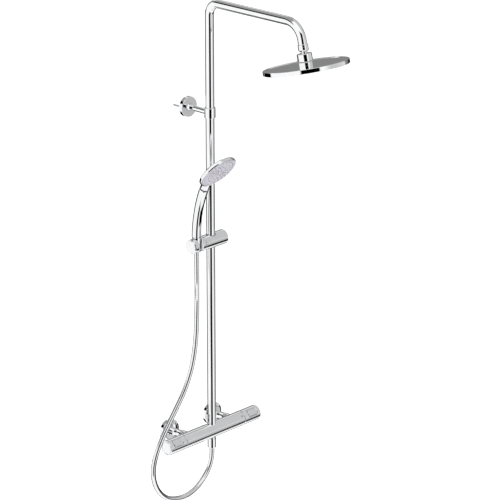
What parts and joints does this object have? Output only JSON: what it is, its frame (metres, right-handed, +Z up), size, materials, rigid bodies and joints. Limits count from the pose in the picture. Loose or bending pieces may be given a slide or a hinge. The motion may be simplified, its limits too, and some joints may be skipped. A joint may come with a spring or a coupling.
{
  "type": "rainfall shower column",
  "caption": "Wall-held shower column: thermostatic bar mixer, riser with swivelling arm and round rain head, slider with hand shower, and hose.",
  "frame": {"origin": "on the wall plane, midway between the two water inlets, at the height of the mixer's axis", "axes": "+Z up along the riser, +Y into the wall, +X along the mixer towards the temperature handle"},
  "size_m": [0.3899, 0.523, 1.254],
  "materials": {
    "chrome": "bright chrome plate on brass",
    "chrome_plastic": "bright chrome plate on ABS",
    "hose_steel": "smooth silver hose with a fine helical rib",
    "brass": "machined brass",
    "steel": "stainless steel",
    "white_plastic": "moulded white plastic",
    "grey_plastic": "moulded grey plastic",
    "nozzle_rubber": "soft grey silicone",
    "black_rubber": "black rubber",
    "ceramic": "polished ceramic"
  },
  "bodies": {
    "root": {"mixer_body": "chrome", "wall_union_left": "brass", "wall_union_right": "brass", "union_rosette_left": "chrome", "union_rosette_right": "chrome", "union_nut_left": "chrome", "union_nut_right": "chrome", "sieve_washers": "black_rubber", "check_valves": "white_plastic", "thermostat_cartridge": "white_plastic", "flow_cartridge": "white_plastic", "fixed_disc": "ceramic", "handle_stop_rings": "grey_plastic", "outlet_nipple": "brass", "hose_nut_lower": "chrome", "hose": "hose_steel", "lower_riser": "chrome", "wall_bracket": "chrome", "bracket_rosette": "chrome", "wall_plate": "steel", "wall_screws": "steel"},
    "wax_element": {"wax_element": "brass"},
    "temperature_handle": {"temperature_handle": "chrome", "temperature_spindle": "brass", "temperature_end_cap": "chrome", "temperature_button_spring": "steel"},
    "temperature_button": {"temperature_button": "chrome_plastic"},
    "flow_handle": {"flow_handle": "chrome", "flow_spindle": "brass", "flow_end_cap": "chrome", "turning_disc": "ceramic", "eco_button_spring": "steel"},
    "eco_button": {"eco_button": "chrome_plastic"},
    "arm": {"riser_joint_sleeve": "white_plastic", "upper_riser_arm": "chrome", "arm_nut": "chrome", "swivel_ball": "chrome"},
    "ball_seat": {"ball_seat": "white_plastic"},
    "rain_head": {"head_collar": "chrome", "head_shell": "chrome", "head_spray_plate": "grey_plastic", "head_nozzle_mat": "nozzle_rubber", "head_gasket": "black_rubber"},
    "slider_bush": {"slider_bush": "grey_plastic"},
    "slider": {"slider_body": "chrome_plastic", "holder_pin": "steel", "slider_button_spring": "steel"},
    "slider_button": {"slider_button": "chrome_plastic"},
    "holder": {"holder_fork": "chrome_plastic", "holder_end_cap": "chrome_plastic"},
    "handset": {"hose_nut_upper": "chrome", "handset_handle": "chrome_plastic", "handset_water_tube": "white_plastic", "handset_neck_ring": "black_rubber", "handset_head_shell": "chrome_plastic", "handset_rim": "chrome_plastic", "handset_face_stud": "steel"},
    "spray_face": {"handset_spray_face": "white_plastic", "handset_nozzle_mat": "nozzle_rubber"}
  },
  "joints": [
    {"name": "arm_swivel", "type": "hinge", "parent": "root", "child": "arm", "pos_m": [0, -0.08, 0.822], "axis": [0, 0, 1], "range_deg": [-75, 75]},
    {"name": "head_spin", "type": "hinge", "parent": "arm", "child": "ball_seat", "pos_m": [0, -0.38577, 1.01482], "axis": [0, 0.225, 0.9744], "continuous": true},
    {"name": "head_tilt", "type": "hinge", "parent": "ball_seat", "child": "rain_head", "pos_m": [0, -0.38577, 1.01482], "axis": [1, 0, 0], "range_deg": [-10, 10]},
    {"name": "slider_slide", "type": "slide", "parent": "root", "child": "slider_bush", "axis": [0, 0, 1], "range_m": [-0.22, 0.25], "deforming": ["hose"]},
    {"name": "slider_swivel", "type": "hinge", "parent": "slider_bush", "child": "slider", "pos_m": [0, -0.08, 0.5], "axis": [0, 0, 1], "range_deg": [-50, 50]},
    {"name": "slider_button_press", "type": "slide", "parent": "slider", "child": "slider_button", "axis": [-1, 0, 0], "range_m": [0, 0.003], "stiffness_N_per_m": 600, "springref_m": -0.001, "deforming": ["slider_button_spring"]},
    {"name": "holder_tilt", "type": "hinge", "parent": "slider", "child": "holder", "pos_m": [-0.03, -0.08, 0.5], "axis": [1, 0, 0], "range_deg": [-10, 35]},
    {"name": "handset_lift", "type": "slide", "parent": "holder", "child": "handset", "axis": [0, 0, 1], "range_m": [0, 0.06]},
    {"name": "spray_select", "type": "hinge", "parent": "handset", "child": "spray_face", "pos_m": [-0.048, -0.1566, 0.699], "axis": [0, -0.7771, -0.6293], "range_deg": [-60, 60]},
    {"name": "temperature_turn", "type": "hinge", "parent": "root", "child": "temperature_handle", "pos_m": [0.12, -0.08, 0], "axis": [1, 0, 0], "range_deg": [-150, 60]},
    {"name": "wax_travel", "type": "slide", "parent": "root", "child": "wax_element", "axis": [1, 0, 0], "range_m": [-0.002, 0.001]},
    {"name": "temperature_button_press", "type": "slide", "parent": "temperature_handle", "child": "temperature_button", "axis": [0, 0.766, -0.6428], "range_m": [0, 0.0025], "stiffness_N_per_m": 600, "springref_m": -0.001, "deforming": ["temperature_button_spring"]},
    {"name": "flow_turn", "type": "hinge", "parent": "root", "child": "flow_handle", "pos_m": [-0.12, -0.08, 0], "axis": [1, 0, 0], "range_deg": [-90, 90]},
    {"name": "eco_button_press", "type": "slide", "parent": "flow_handle", "child": "eco_button", "axis": [0, 0.766, -0.6428], "range_m": [0, 0.0025], "stiffness_N_per_m": 600, "springref_m": -0.001, "deforming": ["eco_button_spring"]}
  ],
  "couplings": [
    {"joint": "wax_travel", "follows": "temperature_turn", "m_per_rad": 0.0006}
  ]
}
